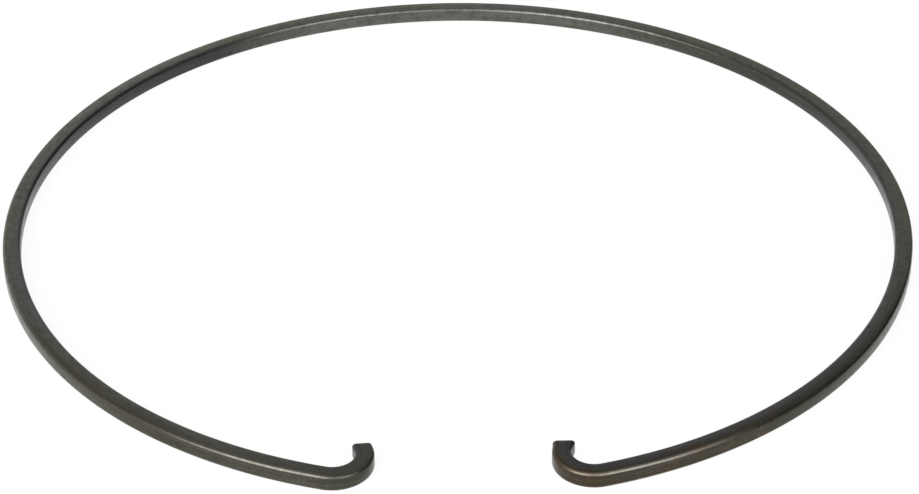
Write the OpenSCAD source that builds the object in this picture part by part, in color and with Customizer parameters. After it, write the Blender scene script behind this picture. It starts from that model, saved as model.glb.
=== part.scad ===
// Snap ring of rolled spring wire with two inward hooks, for a groove in a round bore.
// The ring lies flat: its axis is Z, its middle plane is z = 0 and its opening faces -Y.
// Drawing the hooks together closes the ring; let go, it springs out into the groove.

/* [Ring] */
// Outside diameter of the relaxed ring
ring_od = 218; // [150:1:320]
// Half of the opening: angle at the ring's centre from the front to the start of a bend
gap_half_angle = 16.15; // [10:0.05:60]

/* [Wire] */
// Radial width of the wire
wire_w = 4.1; // [2.5:0.1:6]
// Axial thickness of the wire
wire_h = 3.9; // [2.5:0.1:7]
// Radius rolled on the four long edges of the wire
edge_r = 0.75; // [0.1:0.05:1.2]

/* [Hooks] */
// Inside radius of the bend that turns each end inward
bend_inner_r = 4.7; // [2:0.1:9]
// Angle through which each end is bent
bend_angle = 122; // [80:1:150]
// How far the stretched wire draws in on every side through the bend
bend_draw = 0.03; // [0.02:0.01:0.1]
// Straight leg after the bend, measured along the middle of the wire
leg_len = 1.8; // [1.2:0.1:14]
// Lean of the sheared end face off square; its outer corner lies back
tip_slant = 12; // [0:1:20]
// Radius of the two upright corners of the end face
tip_corner_r = 0.6; // [0.05:0.05:0.8]
// Radius of the upper and lower edges of the end face
tip_edge_r = 0.4; // [0.05:0.05:0.8]

/* [Hidden] */

// Middle line of the wire: the ring's arc, then a bend at each end
ring_r = (ring_od - wire_w) / 2;
bend_r = bend_inner_r + wire_w / 2;
first_angle = gap_half_angle - 90;
arc_angle = 360 - 2 * gap_half_angle;

// The drawn-in bend runs this far into the arc and into the leg
bend_seat = 0.2;
seat_angle = bend_seat / bend_r * 180 / PI;

// Corner roundings of the end face die out this far outside the wire's own faces
tip_ease = 0.01;

// Rolled wire seen end on: X is radial, Y is axial; drawn in by the same amount all round
module wire_section(draw = 0) {
    w = wire_w - 2 * draw;
    h = wire_h - 2 * draw;
    r = edge_r - draw / 2;
    square([w - 2 * r, h], center = true);
    square([w, h - 2 * r], center = true);
    for (x = [-1, 1], y = [-1, 1])
        translate([x * (w / 2 - r), y * (h / 2 - r)]) circle(r = r, $fn = 32);
}

// Wire curved about Z, counter-clockwise from an angle
module curved_wire(r, from, sweep, facets, draw = 0) {
    rotate([0, 0, from])
        rotate_extrude(angle = sweep, $fn = facets)
            translate([r, 0]) wire_section(draw);
}

// End of the leg seen from above: X points away from the bend's centre, Y to the end face
module end_plan() {
    x = wire_w / 2 + tip_ease;
    lean = x * tan(tip_slant);
    offset(r = tip_corner_r, $fn = 32) offset(delta = -tip_corner_r)
        polygon([[-x, -wire_w], [x, -wire_w], [x, leg_len - lean], [-x, leg_len + lean]]);
}

// End of the leg seen from the side: the end face is at x = 0, Y is axial
module end_side() {
    back = leg_len + 2 * wire_w;
    y = wire_h / 2 + tip_ease;
    translate([-back, tip_edge_r - y]) square([back, 2 * (y - tip_edge_r)]);
    translate([-back, -y]) square([back - tip_edge_r, 2 * y]);
    for (side = [-1, 1])
        translate([-tip_edge_r, side * (y - tip_edge_r)]) circle(r = tip_edge_r, $fn = 32);
}

// Straight end of the wire, sheared at a slight lean and eased on every edge of the cut
module leg() {
    blank = leg_len + wire_w;
    intersection() {
        translate([0, blank, 0]) rotate([90, 0, 0])
            linear_extrude(height = blank) wire_section();
        linear_extrude(height = 2 * wire_h, center = true) end_plan();
        translate([0, leg_len, 0]) rotate([0, 0, 90 - tip_slant]) rotate([90, 0, 0])
            linear_extrude(height = 4 * wire_w, center = true) end_side();
    }
}

// Tight inward bend and leg at the end of the arc on the +X side
module hook() {
    rotate([0, 0, first_angle]) translate([ring_r - bend_r, 0, 0]) {
        curved_wire(bend_r, -bend_angle - seat_angle, bend_angle + 2 * seat_angle, 96, bend_draw);
        rotate([0, 0, -bend_angle]) translate([bend_r, 0, 0])
            mirror([0, 1, 0]) leg();
    }
}

// One length of wire: the open ring and its two mirrored hooks
module retaining_ring() {
    color([0.27, 0.27, 0.25]) {
        curved_wire(ring_r, first_angle, arc_angle, 360);
        hook();
        mirror([1, 0, 0]) hook();
    }
}

retaining_ring();
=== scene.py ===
# %% [markdown]
# # A hooked snap ring of blackened spring steel
#
# The real part is one length of square spring wire, rolled round to a large open ring.
# Both ends are turned inward to small hooks, so that a pair of pliers can draw them together.
# This script loads the measured solid, makes the ring again as wire with its rolled edges and
# sheared ends, gives it a blackened steel finish, and lights it on a white table.

# %% Load the measured solid
import math

import bpy
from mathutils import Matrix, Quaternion, Vector


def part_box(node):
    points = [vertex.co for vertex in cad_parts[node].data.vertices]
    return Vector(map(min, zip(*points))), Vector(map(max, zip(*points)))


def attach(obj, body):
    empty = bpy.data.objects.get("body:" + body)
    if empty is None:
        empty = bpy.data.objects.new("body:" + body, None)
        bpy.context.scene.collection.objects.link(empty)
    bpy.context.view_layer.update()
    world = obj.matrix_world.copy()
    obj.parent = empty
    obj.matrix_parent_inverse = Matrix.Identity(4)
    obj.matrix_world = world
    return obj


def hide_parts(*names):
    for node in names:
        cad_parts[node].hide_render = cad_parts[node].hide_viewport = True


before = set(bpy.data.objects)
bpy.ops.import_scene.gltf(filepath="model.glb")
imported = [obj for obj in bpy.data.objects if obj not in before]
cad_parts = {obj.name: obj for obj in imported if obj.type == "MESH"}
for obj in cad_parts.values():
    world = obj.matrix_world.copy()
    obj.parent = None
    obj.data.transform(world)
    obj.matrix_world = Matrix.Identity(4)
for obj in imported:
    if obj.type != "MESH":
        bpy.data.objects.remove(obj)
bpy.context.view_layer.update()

low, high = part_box("retaining_ring")
print("solid, in mm:", [round(1000 * side, 2) for side in high - low])

# %% [markdown]
# ## The sizes of the wire
#
# All lengths are in metres, as Blender has them. The outside diameter and the wire's thickness are
# read from the solid, so the two can't drift apart. The other sizes are those of its drawing, where
# one easing stands for the two radii of its end faces. The last lines say how finely it is made.

# %% Sizes of the ring
MM = 0.001
WIRE_WIDTH = 4.1 * MM
WIRE_THICKNESS = high.z - low.z
EDGE_RADIUS = 0.75 * MM
RING_RADIUS = (high.x - low.x - WIRE_WIDTH) / 2
BEND_RADIUS = 6.75 * MM
HALF_OPENING = math.radians(16.15)
BEND_ANGLE = math.radians(122)
LEG_LENGTH = 1.8 * MM
END_LEAN = math.radians(12)
END_EASING = 0.55 * MM
SECTION_POINTS = 64
ARC_STEPS, BEND_STEPS, LEG_STEPS, EASING_STEPS = 300, 40, 5, 7
END_FACE_INSET = 0.1 * MM
print("middle line of the wire, radius in mm:", round(RING_RADIUS / MM, 2))

# %% [markdown]
# ## Two small helpers
#
# Colours are written as people write them, in sRGB hex, and Blender's sockets want linear numbers.
# The second helper adds one node to a tree: its settings by name, and for each input either a value
# or the socket that feeds it. It serves the shape, the finish, the table and the room alike.

# %% Helpers for colours and nodes
def to_linear(hex_colour):
    """Linear red, green, blue and alpha of an sRGB hex colour such as "#8c8c86"."""
    parts = [int(hex_colour[i:i + 2], 16) / 255 for i in (1, 3, 5)]
    return [c / 12.92 if c <= 0.04045 else ((c + 0.055) / 1.055) ** 2.4 for c in parts] + [1.0]


def add(tree, kind, inputs=None, **settings):
    """Adds a node to the tree with its settings, and feeds its inputs with values or sockets."""
    node = tree.nodes.new(kind)
    for name, value in settings.items():
        setattr(node, name, value)
    for key, value in (inputs or {}).items():
        if isinstance(value, bpy.types.NodeSocket):
            tree.links.new(value, node.inputs[key])
        else:
            node.inputs[key].default_value = value
    return node


print("a mid grey is", [round(c, 3) for c in to_linear("#808080")[:3]])

# %% [markdown]
# ## How the ring is made
#
# A curve with a bevel would do for a round wire, but this one is rectangular, has sheared ends,
# and needs a finish that follows its length. So the tree copies the workshop: it sweeps the wire's
# section along a straight line, rounds off both ends, and then coils the straight bar by a rule.
# The place that a point had on the straight bar is kept, for the finish. The last six sizes are
# what the tools leave on this ring: lengths, and shares of what they change.

# %% Start the Geometry Nodes tree and name its sizes
coil = bpy.data.node_groups.new("Coil a hooked ring", "GeometryNodeTree")
SIZES = {
    "Ring radius": RING_RADIUS,
    "Half opening": HALF_OPENING,
    "Bend radius": BEND_RADIUS,
    "Bend angle": BEND_ANGLE,
    "Leg length": LEG_LENGTH,
    "Wire width": WIRE_WIDTH,
    "Wire thickness": WIRE_THICKNESS,
    "Edge radius": EDGE_RADIUS,
    "End lean": END_LEAN,
    "End easing": END_EASING,
    "Bend squeeze": 0.018,
    "Side barrel": 0.1 * MM,
    "Right flare": 0.26 * MM,
    "Right spring-back": 0.03,
    "Right leg longer": 0.38,
    "Unevenness": 0.02 * MM,
}
for size_name in SIZES:
    coil.interface.new_socket(name=size_name, in_out="INPUT", socket_type="NodeSocketFloat")
coil.interface.new_socket(name="Finish", in_out="INPUT", socket_type="NodeSocketMaterial")
coil.interface.new_socket(name="Ring", in_out="OUTPUT", socket_type="NodeSocketGeometry")
given = add(coil, "NodeGroupInput").outputs
print(len(SIZES), "named sizes")

# %% [markdown]
# ## The wire's section
#
# Rolled wire has round edges. A small circle with the edge's radius is enough to draw it: each of
# its points moves out by the same step, to the right or left and up or down by its own signs.
# The circle falls apart into four rounded corners, and the flats open up between them.
# It is turned by half a point first, so that no point lies on an axis, where the sign is nought.

# %% Section of the wire
small_circle = add(coil, "GeometryNodeCurvePrimitiveCircle",
                   {"Resolution": SECTION_POINTS, "Radius": given["Edge radius"]})
half_turned = add(coil, "GeometryNodeTransform",
                  {"Geometry": small_circle.outputs["Curve"],
                   "Rotation": (0, 0, math.pi / SECTION_POINTS)})
outer_size = add(coil, "ShaderNodeCombineXYZ",
                 {"X": given["Wire width"], "Y": given["Wire thickness"]})
edge_size = add(coil, "ShaderNodeCombineXYZ",
                {"X": given["Edge radius"], "Y": given["Edge radius"]})
half_size = add(coil, "ShaderNodeVectorMath", {0: outer_size.outputs[0], "Scale": 0.5},
                operation="SCALE")
step_out = add(coil, "ShaderNodeVectorMath", {0: half_size.outputs[0], 1: edge_size.outputs[0]},
               operation="SUBTRACT")
circle_place = add(coil, "GeometryNodeInputPosition")
own_signs = add(coil, "ShaderNodeVectorMath", {0: circle_place.outputs[0]}, operation="SIGN")
moved_out = add(coil, "ShaderNodeVectorMath", {0: own_signs.outputs[0], 1: step_out.outputs[0]},
                operation="MULTIPLY")
section = add(coil, "GeometryNodeSetPosition",
              {"Geometry": half_turned.outputs[0], "Offset": moved_out.outputs[0]})
print(SECTION_POINTS, "points round the wire")

# %% [markdown]
# ## The straight bar
#
# The points of its middle line lie close together where the bar will be bent and where its ends are
# eased, and further apart on the long arc. Each row below is one Math node, with its name, what it
# does, and what goes in: a number, a size, or the name of an earlier row.
# The count of a point from the middle tells which part of the wire it belongs to.

# %% Where the points of the bar's middle line lie
BEND_FROM = ARC_STEPS
LEG_FROM = BEND_FROM + BEND_STEPS
EASING_FROM = LEG_FROM + LEG_STEPS
FACE_FROM = EASING_FROM + EASING_STEPS
BAR_POINTS = 2 * (FACE_FROM + 1) + 1
sums = {name: given[name] for name in SIZES}
sums["index"] = add(coil, "GeometryNodeInputIndex").outputs[0]
for name, operation, *terms in (
    ("arc turn", "SUBTRACT", math.pi, "Half opening"),
    ("arc length", "MULTIPLY", "arc turn", "Ring radius"),
    ("bend length", "MULTIPLY", "Bend angle", "Bend radius"),
    ("plain leg", "SUBTRACT", "Leg length", "End easing"),
    ("from middle", "SUBTRACT", "index", FACE_FROM + 1),
    ("end", "SIGN", "from middle"),
    ("count", "ABSOLUTE", "from middle"),
):
    sums[name] = add(coil, "ShaderNodeMath", {i: sums.get(t, t) for i, t in enumerate(terms)},
                     operation=operation).outputs[0]
for name, first, steps, length in (
    ("on arc", 0, ARC_STEPS, "arc length"),
    ("on bend", BEND_FROM, BEND_STEPS, "bend length"),
    ("on leg", LEG_FROM, LEG_STEPS, "plain leg"),
    ("easing angle", EASING_FROM, EASING_STEPS, math.pi / 2),
    ("on end face", FACE_FROM, 1, END_FACE_INSET),
):
    share = {"Value": sums["count"], "From Min": first, "From Max": first + steps,
             "To Max": sums.get(length, length)}
    sums[name] = add(coil, "ShaderNodeMapRange", share).outputs["Result"]
for name, operation, *terms in (
    ("easing sine", "SINE", "easing angle"),
    ("eased run", "MULTIPLY", "easing sine", "End easing"),
    ("arc and bend", "ADD", "on arc", "on bend"),
    ("to the easing", "ADD", "arc and bend", "on leg"),
    ("from the middle", "ADD", "to the easing", "eased run"),
    ("along", "MULTIPLY", "from the middle", "end"),
    ("easing cosine", "COSINE", "easing angle"),
    ("one less", "SUBTRACT", 1, "easing cosine"),
    ("drawn in", "MULTIPLY_ADD", "one less", "End easing", "on end face"),
    ("half width", "MULTIPLY", "Wire width", 0.5),
    ("share lost", "DIVIDE", "drawn in", "half width"),
    ("share left", "SUBTRACT", 1, "share lost"),
):
    sums[name] = add(coil, "ShaderNodeMath", {i: sums.get(t, t) for i, t in enumerate(terms)},
                     operation=operation).outputs[0]
print(BAR_POINTS, "points along the wire")

# %% [markdown]
# ## Sweeping the section
#
# A straight curve is cut into as many points as the bar needs, and each goes to its place. Curve to
# Mesh then carries the section along it. Its Scale input draws the section in towards the ends,
# which rounds them off, and each point's place on the bar is stored under a name.

# %% Sweep the section along the bar
spine = add(coil, "GeometryNodeCurvePrimitiveLine", {"End": (1, 0, 0)})
counted = add(coil, "GeometryNodeResampleCurve",
              {"Curve": spine.outputs[0], "Count": BAR_POINTS})
place_along = add(coil, "ShaderNodeCombineXYZ", {"X": sums["along"]})
spaced = add(coil, "GeometryNodeSetPosition",
             {"Geometry": counted.outputs[0], "Position": place_along.outputs[0]})
upright = add(coil, "GeometryNodeSetCurveNormal", {"Curve": spaced.outputs[0]}, mode="Z_UP")
bar = add(coil, "GeometryNodeCurveToMesh",
          {"Curve": upright.outputs[0], "Profile Curve": section.outputs[0],
           "Scale": sums["share left"], "Fill Caps": True})
bar_place = add(coil, "GeometryNodeInputPosition")
remembered = add(coil, "GeometryNodeStoreNamedAttribute",
                 {"Geometry": bar.outputs[0], "Name": "bar_place", "Value": bar_place.outputs[0]},
                 data_type="FLOAT_VECTOR", domain="POINT")
print("each point remembers its place on the bar as", remembered.inputs["Name"].default_value)

# %% [markdown]
# ## Coiling the bar
#
# On the finished ring a point still lies at the same distance along the wire, but the wire has
# turned under it: slowly on the arc, fast in a bend, and not at all on the leg. One rule does all
# three, because each part's share of the length is capped: a point on the arc has no length in the
# bend yet, and one on the leg has used up both. The right hook came off the bender a little less
# bent, and with a longer leg.

# %% How far along and how far bent
split = add(coil, "ShaderNodeSeparateXYZ", {0: bar_place.outputs[0]}).outputs
sums.update({"bar x": split[0], "bar y": split[1], "bar z": split[2]})
for name, operation, *terms in (
    ("outward", "MULTIPLY", "bar y", -1),
    ("reach", "ABSOLUTE", "bar x"),
    ("way round", "SIGN", "bar x"),
    ("arc run", "MINIMUM", "reach", "arc length"),
    ("past arc", "SUBTRACT", "reach", "arc run"),
    ("bend run", "MINIMUM", "past arc", "bend length"),
    ("right end", "LESS_THAN", "bar x", 0),
    ("longer here", "MULTIPLY", "right end", "Right leg longer"),
    ("stretch", "ADD", 1, "longer here"),
    ("past bend", "SUBTRACT", "past arc", "bend run"),
    ("leg run", "MULTIPLY", "past bend", "stretch"),
    ("arc angle", "DIVIDE", "arc run", "Ring radius"),
    ("sprung", "MULTIPLY", "right end", "Right spring-back"),
    ("bend kept", "SUBTRACT", 1, "sprung"),
    ("full bend", "DIVIDE", "bend run", "Bend radius"),
    ("bent by", "MULTIPLY", "full bend", "bend kept"),
    ("angle", "ADD", "arc angle", "bent by"),
):
    sums[name] = add(coil, "ShaderNodeMath", {i: sums.get(t, t) for i, t in enumerate(terms)},
                     operation=operation).outputs[0]
print(round(math.degrees(2 * (math.pi - HALF_OPENING))), "degrees of arc, and then",
      round(math.degrees(BEND_ANGLE)), "in each bend")

# %% [markdown]
# ## What the tools do to the section
#
# A bend squeezes the wire: it grows a little thicker inside the bend and thinner outside. The shear
# leaves each end face leaning, and it has flared the right one. Rolling leaves the sides slightly
# barrelled, and the run slightly uneven. A drawing leaves most of this out, but the light shows it.

# %% Squeeze, lean, flare, barrel and unevenness
wave_along = add(coil, "ShaderNodeTexNoise", {"W": sums["bar x"], "Scale": 60.0, "Detail": 2.0},
                 noise_dimensions="1D")
wave_up = add(coil, "ShaderNodeTexNoise",
              {"Vector": bar_place.outputs[0], "Scale": 110.0, "Detail": 2.0},
              noise_dimensions="3D")
sums.update({"wave out": wave_along.outputs[0], "wave up": wave_up.outputs[0]})
for name, operation, *terms in (
    ("through bend", "DIVIDE", "bend run", "bend length"),
    ("half circle", "MULTIPLY", "through bend", math.pi),
    ("mid bend", "SINE", "half circle"),
    ("outward share", "DIVIDE", "outward", "half width"),
    ("squeeze here", "MULTIPLY", "mid bend", "Bend squeeze"),
    ("thinned", "MULTIPLY", "squeeze here", "outward share"),
    ("thickness left", "SUBTRACT", 1, "thinned"),
    ("lean slope", "TANGENT", "End lean"),
    ("lean at face", "MULTIPLY", "lean slope", "outward"),
    ("leg share", "DIVIDE", "leg run", "Leg length"),
    ("lean here", "MULTIPLY", "lean at face", "leg share"),
    ("leaned run", "SUBTRACT", "leg run", "lean here"),
    ("wave one", "SUBTRACT", "wave out", 0.5),
    ("wave two", "SUBTRACT", "wave up", 0.5),
    ("uneven out", "MULTIPLY_ADD", "wave one", "Unevenness", "outward"),
    ("towards end", "MULTIPLY", "outward share", "leg share"),
    ("right only", "MULTIPLY", "towards end", "right end"),
    ("flared out", "MULTIPLY_ADD", "right only", "Right flare", "uneven out"),
    ("half thickness", "MULTIPLY", "Wire thickness", 0.5),
    ("height share", "DIVIDE", "bar z", "half thickness"),
    ("height squared", "MULTIPLY", "height share", "height share"),
    ("barrel share", "SUBTRACT", 1, "height squared"),
    ("barrel here", "MULTIPLY", "barrel share", "Side barrel"),
    ("barrelled out", "MULTIPLY_ADD", "outward share", "barrel here", "flared out"),
    ("pressed z", "MULTIPLY", "bar z", "thickness left"),
    ("uneven z", "MULTIPLY_ADD", "wave two", "Unevenness", "pressed z"),
):
    sums[name] = add(coil, "ShaderNodeMath", {i: sums.get(t, t) for i, t in enumerate(terms)},
                     operation=operation).outputs[0]
print("squeezed by", round(100 * SIZES["Bend squeeze"], 1), "%, and barrelled by",
      round(SIZES["Side barrel"] / MM, 2), "mm")

# %% [markdown]
# ## The place on the ring
#
# An arm reaches from the ring's centre to the centre of the bend, and turns only as far as the arc
# goes. From there the point lies one bend radius further out, at the full angle, and a point of the
# leg lies further on along the straight.

# %% The place of each point on the ring
for name, operation, *terms in (
    ("arm", "SUBTRACT", "Ring radius", "Bend radius"),
    ("arm sine", "SINE", "arc angle"),
    ("arm cosine", "COSINE", "arc angle"),
    ("sine", "SINE", "angle"),
    ("cosine", "COSINE", "angle"),
    ("radius here", "ADD", "Bend radius", "barrelled out"),
    ("x of arm", "MULTIPLY", "arm", "arm sine"),
    ("x of bend", "MULTIPLY_ADD", "radius here", "sine", "x of arm"),
    ("x of leg", "MULTIPLY_ADD", "leaned run", "cosine", "x of bend"),
    ("other way", "MULTIPLY", "way round", -1),
    ("ring x", "MULTIPLY", "x of leg", "other way"),
    ("y of arm", "MULTIPLY", "arm", "arm cosine"),
    ("y of bend", "MULTIPLY_ADD", "radius here", "cosine", "y of arm"),
    ("y of leg", "MULTIPLY", "leaned run", "sine"),
    ("ring y", "SUBTRACT", "y of bend", "y of leg"),
):
    sums[name] = add(coil, "ShaderNodeMath", {i: sums.get(t, t) for i, t in enumerate(terms)},
                     operation=operation).outputs[0]
ring_place = add(coil, "ShaderNodeCombineXYZ",
                 {"X": sums["ring x"], "Y": sums["ring y"], "Z": sums["uneven z"]})
coiled = add(coil, "GeometryNodeSetPosition",
             {"Geometry": remembered.outputs[0], "Position": ring_place.outputs[0]})
smooth = add(coil, "GeometryNodeSetShadeSmooth", {"Geometry": coiled.outputs[0]})
realised = add(coil, "GeometryNodeRealizeInstances", {"Geometry": smooth.outputs[0]})
finished = add(coil, "GeometryNodeSetMaterial",
               {"Geometry": realised.outputs[0], "Material": given["Finish"]})
add(coil, "NodeGroupOutput", {"Ring": finished.outputs[0]})
print(len(coil.nodes), "nodes coil the ring")

# %% [markdown]
# ## The finish: where a point lies on the wire
#
# Such a ring is hardened and blackened in hot oil. It stays a metal to the eye: its highlights are
# bright on the rounded edges, and its flats take the tone of what they face. Everything on it
# follows the wire, so the finish is drawn on the straight bar, in millimetres: along it, across it
# (minus is the outside of the ring) and up. Each value gets a name, and later rows use the names.

# %% Places on the wire, in millimetres
steel = bpy.data.materials.new("Oil-blackened spring steel")
steel.use_nodes = True
steel.node_tree.nodes.clear()
finish = steel.node_tree
place = add(finish, "ShaderNodeAttribute", attribute_name="bar_place")
place_mm = add(finish, "ShaderNodeVectorMath", {0: place.outputs["Vector"], "Scale": 1 / MM},
               operation="SCALE").outputs[0]
marks = dict(zip(("along", "across", "upward"),
                 add(finish, "ShaderNodeSeparateXYZ", {0: place_mm}).outputs))
for name, per_mm, detail in (
    ("clouds", (0.035, 0.22, 0.22), 2.0),
    ("blotches", (0.2, 0.4, 0.4), 2.0),
    ("mottle", (0.55, 0.7, 0.7), 3.0),
    ("flecks", (1.1, 1.8, 1.8), 1.0),
    ("lines", (0.05, 6.0, 6.0), 2.0),
):
    stretched = add(finish, "ShaderNodeVectorMath", {0: place_mm, 1: per_mm}, operation="MULTIPLY")
    marks[name] = add(finish, "ShaderNodeTexNoise",
                      {"Vector": stretched.outputs[0], "Scale": 1.0, "Detail": detail,
                       "Roughness": 0.55}).outputs[0]
    print(name, "about", round(1 / per_mm[0], 1), "mm long and", round(1 / per_mm[1], 1), "wide")

# %% [markdown]
# ## Where each mark lies
#
# The first rows measure how far a point is into the rounded edges. The next ones turn a value into
# a share: it grows from the first share to the second while the value goes through its range, with
# soft ends. Two shares multiplied keep a mark to where both are strong.

# %% Shares of the marks
for name, operation, *terms in (
    ("off middle", "ABSOLUTE", "across"),
    ("from the back", "ABSOLUTE", "along"),
    ("off mid height", "ABSOLUTE", "upward"),
    ("into edge sideways", "SUBTRACT", "off middle", (WIRE_WIDTH / 2 - EDGE_RADIUS) / MM),
    ("into edge upwards", "SUBTRACT", "off mid height", (WIRE_THICKNESS / 2 - EDGE_RADIUS) / MM),
    ("into edge", "MINIMUM", "into edge sideways", "into edge upwards"),
):
    marks[name] = add(finish, "ShaderNodeMath", {i: marks.get(t, t) for i, t in enumerate(terms)},
                      operation=operation).outputs[0]
for name, source, value_from, value_to, share_from, share_to in (
    ("inner half", "across", -0.4, 1.9, 0.0, 0.7),
    ("outer half", "across", -0.6, -1.9, 0.0, 0.6),
    ("side face", "off middle", 1.3, 1.9, 0.0, 1.0),
    # painted shade: the upright sides are darkened, more so towards their top
    ("side shade growing upwards", "upward", -1.7, 1.3, 0.35, 0.95),
    ("blotchy", "blotches", 0.52, 0.66, 0.0, 0.4),
    ("right front", "along", -200, -260, 0.15, 1.0),
    ("mottled", "mottle", 0.4, 0.66, 0.0, 0.42),
    ("lined", "lines", 0.42, 0.68, 0.0, 0.22),
    ("flecked", "flecks", 0.66, 0.76, 0.0, 0.2),
    # painted highlight: this share lightens the rounded edges, which brightens the lamps' lines on
    # them
    ("painted edge sheen", "into edge", 0.0, 0.35, 0.0, 0.47),
    ("less inside", "across", 1.0, 1.6, 1.0, 0.25),
    ("near the bends", "from the back", 262, 292, 0.0, 0.85),
    ("not bent", "from the back", 302, 316, 1.0, 0.1),
    ("dull film", "mottle", 0.3, 0.7, 0.255, 0.34),
    ("duller bend", "from the back", 290, 312, 0.0, 0.05),
    ("duller edge", "into edge", -0.1, 0.35, 0.0, 0.06),
):
    ranges = {"Value": marks[source], "From Min": value_from, "From Max": value_to,
              "To Min": share_from, "To Max": share_to}
    marks[name] = add(finish, "ShaderNodeMapRange", ranges,
                      interpolation_type="SMOOTHSTEP").outputs["Result"]
for name, operation, *terms in (
    # painted shade on the upright sides
    ("painted shade on the sides", "MULTIPLY", "side face", "side shade growing upwards"),
    ("rusty", "MULTIPLY", "blotchy", "right front"),
    # painted highlight: the edges' light tint, less on the inside, off the bends, and stronger near
    # the bends on the right front
    ("painted edge sheen there", "MULTIPLY", "painted edge sheen", "less inside"),
    ("painted edge highlight", "MULTIPLY", "painted edge sheen there", "not bent"),
    ("more painted sheen near the bends", "MULTIPLY", "painted edge highlight", "near the bends"),
    ("painted highlight near the right bend", "MULTIPLY", "more painted sheen near the bends", "right front"),
    ("dull", "ADD", "dull film", "duller bend"),
    ("dullness", "ADD", "dull", "duller edge"),
    ("relief", "ADD", "mottle", "lines"),
):
    marks[name] = add(finish, "ShaderNodeMath", {i: marks.get(t, t) for i, t in enumerate(terms)},
                      operation=operation).outputs[0]
print(len(marks), "named values")

# %% [markdown]
# ## The film of oxide
#
# The film is only about a thousandth of a millimetre thick, and its tint tells how thick it is.
# Soft clouds along the wire drift from a cool grey through olive to brown. The outside is more
# olive and the inside bluer. The upright sides are painted darker than the top, more so towards
# their top: painted shade. The long rounded edges are painted lighter up to the bends, which
# brightens the lamps' lines on them: a painted highlight.
#
# Then come the places where this ring differs: patches of film, and on the inner side some of
# painted shade and one of painted light. Each row has a tint, its middle and its reach along
# the wire in mm from the back of the ring (minus is to the right), the two places across it between
# which the patch fades in, and its strength. It is full over the inner part of its reach, and then
# fades.

# %% Tempering tints
tempering = add(finish, "ShaderNodeValToRGB", {"Fac": marks["clouds"]})
stops = tempering.color_ramp.elements
stops[0].position, stops[1].position = 0.3, 0.72
for position in (0.45, 0.58):
    stops.new(position)
for stop, tint in zip(stops, ("#535654", "#575a50", "#595b4b", "#5a5446")):
    stop.color = to_linear(tint)
film = tempering.outputs["Color"]
# the sides' dark tint is painted shade, and the edges' light tint is a painted highlight
layers = [("#54555a", "inner half"), ("#585b45", "outer half"), ("#414136", "painted shade on the sides"),
          ("#74736d", "painted edge highlight")]
print("tempering tints at", [round(stop.position, 2) for stop in stops])

# %% Patches of film, of painted shade and of painted light
FULL_WITHIN = 0.4
for name, tint, middle, reach, fades_from, fades_to, strength in (
    ("warm film on the left front", "#54514a", 290, 90, 9, 4, 0.7),
    ("dull film on the right front", "#494b4f", -280, 95, 9, 4, 0.85),
    ("thick film on the left front, outside", "#403f30", 242, 48, 0.8, -1.6, 0.55),
    ("olive scale on the right front, outside", "#34372a", -240, 60, 0.8, -1.6, 0.95),
    ("brown scale near the right bend, outside", "#433b2b", -294, 36, 0.8, -1.6, 0.75),
    # Painted shade: the next four darken the inner side and its edge, where the wire reflects the
    # table.
    ("bluish painted shade on the left back, inside", "#37383e", 110, 80, 1.2, 2.0, 0.85),
    ("painted shade on the right back, inside", "#3c3d3d", -140, 75, 1.2, 2.0, 0.8),
    ("painted shade on the left, inside", "#333438", 170, 80, 1.2, 1.9, 0.7),
    ("painted shade on the right, inside", "#333438", -195, 80, 1.2, 1.9, 0.7),
    ("thin pale film on the left back", "#666860", 100, 40, 2.2, -1.0, 0.6),
    # Painted light: this lightens the inner side and the highlight on its edge at the back.
    ("painted light at the back, inside", "#666a64", 0, 75, 0.5, 1.6, 0.85),
    ("brown film on the right bend", "#433829", -314, 12, 0.8, -1.6, 0.85),
    ("olive film on the left bend", "#41423a", 314, 12, 0.8, -1.6, 0.7),
    ("dark blue film inside the right bend", "#37383b", -316, 22, -0.6, 1.4, 0.75),
    ("dark blue film inside the left bend", "#35363b", 316, 22, -0.6, 1.4, 0.75),
    ("thick film on the right leg, inside", "#2e2e2d", -324, 5, 1.2, 2.0, 0.8),
):
    past = add(finish, "ShaderNodeMath", {0: marks["along"], 1: middle}, operation="SUBTRACT")
    away = add(finish, "ShaderNodeMath", {0: past.outputs[0]}, operation="ABSOLUTE")
    near = add(finish, "ShaderNodeMapRange",
               {"Value": away.outputs[0], "From Min": FULL_WITHIN * reach, "From Max": reach,
                "To Min": strength, "To Max": 0.0}, interpolation_type="SMOOTHSTEP")
    sided = add(finish, "ShaderNodeMapRange",
                {"Value": marks["across"], "From Min": fades_from, "From Max": fades_to},
                interpolation_type="SMOOTHSTEP")
    marks[name] = add(finish, "ShaderNodeMath", {0: near.outputs[0], 1: sided.outputs[0]},
                      operation="MULTIPLY").outputs[0]
    layers.append((tint, name))
    print("patch:", name)

# %% [markdown]
# ## Marks, dullness and relief
#
# Over the film lie rusty blotches, most of them on the right front, a fine mottle, hair-thin lines
# from the drawing die, and pale flecks where the film is off. The real lines are finer than a tenth
# of a millimetre, and are drawn a little coarser here, so that they show. Near the right bend the
# edge is painted lighter still: a painted highlight. Each layer is mixed over those before it.
# The mottle also makes the shine uneven, and with the lines it lifts the surface by hundredths of a
# millimetre. Keep the roughness between 0.25 and 0.45: lower looks chromed, and higher smears the
# lamps over the whole wire.

# %% Blackened spring steel
# the last tint is a painted highlight on the edge near the right bend
layers += [("#5a4030", "rusty"), ("#3a3934", "mottled"), ("#7d7c74", "lined"),
           ("#8e8c82", "flecked"), ("#9a958c", "painted highlight near the right bend")]
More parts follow.
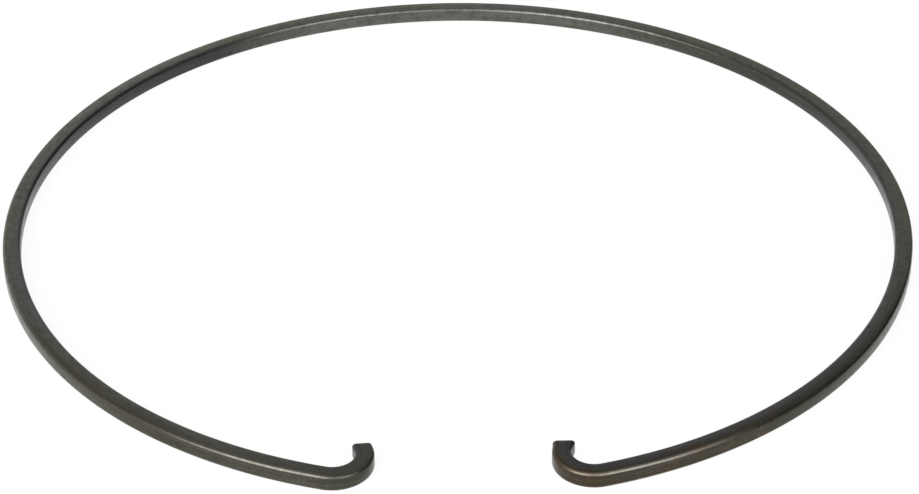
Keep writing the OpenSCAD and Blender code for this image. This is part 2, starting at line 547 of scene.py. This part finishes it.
# A Mix node has a pair of sockets for each kind of value: 6 and 7 are its two colours.
for tint, share in layers:
    film = add(finish, "ShaderNodeMix", {0: marks[share], 6: film, 7: to_linear(tint)},
               data_type="RGBA").outputs[2]
bump = add(finish, "ShaderNodeBump",
           {"Height": marks["relief"], "Strength": 0.35, "Distance": 0.02 * MM})
shader = add(finish, "ShaderNodeBsdfPrincipled",
             {"Base Color": film, "Metallic": 1.0, "Roughness": marks["dullness"],
              "Normal": bump.outputs[0]})
add(finish, "ShaderNodeOutputMaterial", {"Surface": shader.outputs[0]})
print("finish:", steel.name, "in", len(layers), "layers")

# %% [markdown]
# ## Running the tree
#
# The tree's inputs are set on the modifier by each socket's identifier, before it runs for the
# first time. The result is then kept as a plain mesh, and the modifier goes.

# %% Run the tree and keep its result as a plain mesh
ring = bpy.data.objects.new("snap_ring", bpy.data.meshes.new("snap_ring"))
bpy.context.scene.collection.objects.link(ring)
coiling = ring.modifiers.new("Coil", "NODES")
coiling.node_group = coil
for socket in coil.interface.items_tree:
    if socket.in_out == "INPUT":
        coiling[socket.identifier] = SIZES.get(socket.name, steel)
evaluated = ring.evaluated_get(bpy.context.evaluated_depsgraph_get())
plain = bpy.data.meshes.new_from_object(evaluated)
ring.modifiers.clear()
ring.data = plain
plain.name = "snap_ring"
plain.calc_loop_triangles()
print("ring:", len(plain.vertices), "vertices,", len(plain.loop_triangles), "triangles")

# %% Tie the ring to the solid
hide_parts("retaining_ring")
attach(ring, "root")
print("the ring stands in for the solid, and moves with the root")

# %% [markdown]
# ## The table
#
# The ring lies on a white table. Rays from the camera, and those that a metal or glass sends on,
# see mostly a plain white of strength 1, and a part of the real shading, so that the soft shadow at
# the wire's foot stays. All other rays see plain white paint, so the lamps needn't be turned up.

# %% White table
TABLE_REACH = 8.0
PLAIN_SHARE = 0.92
table_top = bpy.data.meshes.new("table")
corners = ((-1, -1), (1, -1), (1, 1), (-1, 1))
table_top.from_pydata([(x * TABLE_REACH, y * TABLE_REACH, low.z) for x, y in corners],
                      [], [(0, 1, 2, 3)])
table = bpy.data.objects.new("table", table_top)
bpy.context.scene.collection.objects.link(table)
white = bpy.data.materials.new("Matt white table top")
white.use_nodes = True
white.node_tree.nodes.clear()
paint = white.node_tree
rays = add(paint, "ShaderNodeLightPath").outputs
seen_or_glossy = add(paint, "ShaderNodeMath", {0: rays["Is Camera Ray"], 1: rays["Is Glossy Ray"]},
                     operation="MAXIMUM")
seen = add(paint, "ShaderNodeMath",
           {0: seen_or_glossy.outputs[0], 1: rays["Is Transmission Ray"]}, operation="MAXIMUM")
share = add(paint, "ShaderNodeMath", {0: seen.outputs[0], 1: PLAIN_SHARE}, operation="MULTIPLY")
shaded = add(paint, "ShaderNodeBsdfDiffuse", {"Color": to_linear("#efefed")})
plain_white = add(paint, "ShaderNodeEmission", {"Color": (1, 1, 1, 1), "Strength": 1.0})
mixed = add(paint, "ShaderNodeMixShader",
            {0: share.outputs[0], 1: shaded.outputs[0], 2: plain_white.outputs[0]})
add(paint, "ShaderNodeOutputMaterial", {"Surface": mixed.outputs[0]})
table_top.materials.append(white)
print("table", 2 * TABLE_REACH, "m wide, top at", round(low.z / MM, 2), "mm")

# %% [markdown]
# ## The room
#
# A dark metal shows its surroundings more than its own colour, so the room matters as much as the
# finish. It is pale up to about 30 degrees above the table, which the flat top shows at the back of
# the ring, and grey above that, which it shows at the front. A dark wall stands on the right: it
# draws the black line along the rounded edge there, and on the inside at the left back.

# %% Room
room = bpy.data.worlds.new("Grey studio")
bpy.context.scene.world = room
room.use_nodes = True
room.node_tree.nodes.clear()
surroundings = room.node_tree
direction = add(surroundings, "ShaderNodeTexCoord").outputs["Generated"]
parts = add(surroundings, "ShaderNodeSeparateXYZ", {0: direction}).outputs
height = parts["Z"]
levels = add(surroundings, "ShaderNodeValToRGB", {"Fac": height})
stops = levels.color_ramp.elements
for position in (0.5, 0.61, 0.75):
    stops.new(position)
for stop, grey in zip(stops, (0.8, 0.84, 0.4, 0.5, 0.8)):
    stop.color = (grey, grey, grey, 1)
DARK_SIDE = Vector((0.96, 0.28, 0))
towards_dark = add(surroundings, "ShaderNodeVectorMath", {0: direction, 1: DARK_SIDE},
                   operation="DOT_PRODUCT")
beside = add(surroundings, "ShaderNodeMapRange",
             {"Value": towards_dark.outputs["Value"], "From Min": 0.55, "From Max": 0.8,
              "To Min": 1.0, "To Max": 0.0}, interpolation_type="SMOOTHSTEP")
above = add(surroundings, "ShaderNodeMapRange",
            {"Value": height, "From Min": 0.4, "From Max": 0.55}, interpolation_type="SMOOTHSTEP")
dark = add(surroundings, "ShaderNodeMath",
           {0: beside.outputs["Result"], 1: above.outputs["Result"]}, operation="MAXIMUM")
rightward = add(surroundings, "ShaderNodeMapRange",
                {"Value": parts["X"],
                 "From Min": -0.1, "From Max": 0.15, "To Min": 1.05, "To Max": 0.8},
                interpolation_type="SMOOTHSTEP")
strength = add(surroundings, "ShaderNodeMath", {0: dark.outputs[0], 1: rightward.outputs["Result"]},
               operation="MULTIPLY")
background = add(surroundings, "ShaderNodeBackground",
                 {"Color": levels.outputs["Color"], "Strength": strength.outputs[0]})
add(surroundings, "ShaderNodeOutputWorld", {"Surface": background.outputs[0]})
print("room:", room.name, "with", len(surroundings.nodes), "nodes")

# %% [markdown]
# ## The lamps
#
# Two softboxes stand in front, left and right, about 33 degrees up. They are what the rounded edges
# show as bright lines, and the lines fade where an edge turns to the gap between the lamps.
# A lamp of a given energy looks dimmer the larger it is, so each row gives the brightness of its
# face, and the energy follows from that and the area. Each lamp's share of the light on the table
# is printed, counted from the lamp's middle and so a little high. With the room's share, a matt
# mid-grey card on the table renders 1.35 times as bright as its colour is written, so a scene with
# matt parts would want dimmer lamps. From this camera the wire's flat top shows the room, not them.

# %% Softboxes
LAMP_DISTANCE = 2.2
for name, turned, raised, width, tall, radiance in (
    ("left softbox", -40, 33, 1.75, 1.75, 5.6),
    ("right softbox", 33, 33, 1.3, 1.65, 3.9),
):
    softbox = bpy.data.lights.new(name, "AREA")
    softbox.shape = "RECTANGLE"
    softbox.size, softbox.size_y = width, tall
    softbox.energy = radiance * math.pi * width * tall
    lamp = bpy.data.objects.new(name, softbox)
    bpy.context.scene.collection.objects.link(lamp)
    azimuth, elevation = math.radians(turned), math.radians(raised)
    away = Vector((math.sin(azimuth) * math.cos(elevation),
                   -math.cos(azimuth) * math.cos(elevation), math.sin(elevation)))
    lamp.location = LAMP_DISTANCE * away
    lamp.rotation_mode = "QUATERNION"
    lamp.rotation_quaternion = away.to_track_quat("Z", "Y")
    print(name, "lights the table with",
          round(radiance * width * tall / LAMP_DISTANCE ** 2 * math.sin(elevation) / math.pi, 2))

# %% [markdown]
# ## The camera
#
# It stands in front of the opening and looks down at about 33 degrees with a long lens, and it
# leans by about 0.3 of a degree. Its place was found by fitting the ring's outline.

# %% Camera
view = bpy.data.cameras.new("camera")
view.sensor_fit = "HORIZONTAL"
view.sensor_width = 36
view.lens = 115.53
view.clip_start, view.clip_end = 0.01, 100
camera = bpy.data.objects.new("camera", view)
bpy.context.scene.collection.objects.link(camera)
bpy.context.scene.camera = camera
camera.location = (-0.0059801, -0.6046745, 0.3785343)
aim = Vector((0.0002966, -0.0120976, 0.0))
camera.rotation_mode = "QUATERNION"
lean = Quaternion((0, 0, 1), math.radians(-0.2857))
camera.rotation_quaternion = (aim - camera.location).to_track_quat("-Z", "Y") @ lean
bpy.context.scene.view_settings.view_transform = "Standard"
print("camera", round((camera.location - aim).length, 3), "m away")
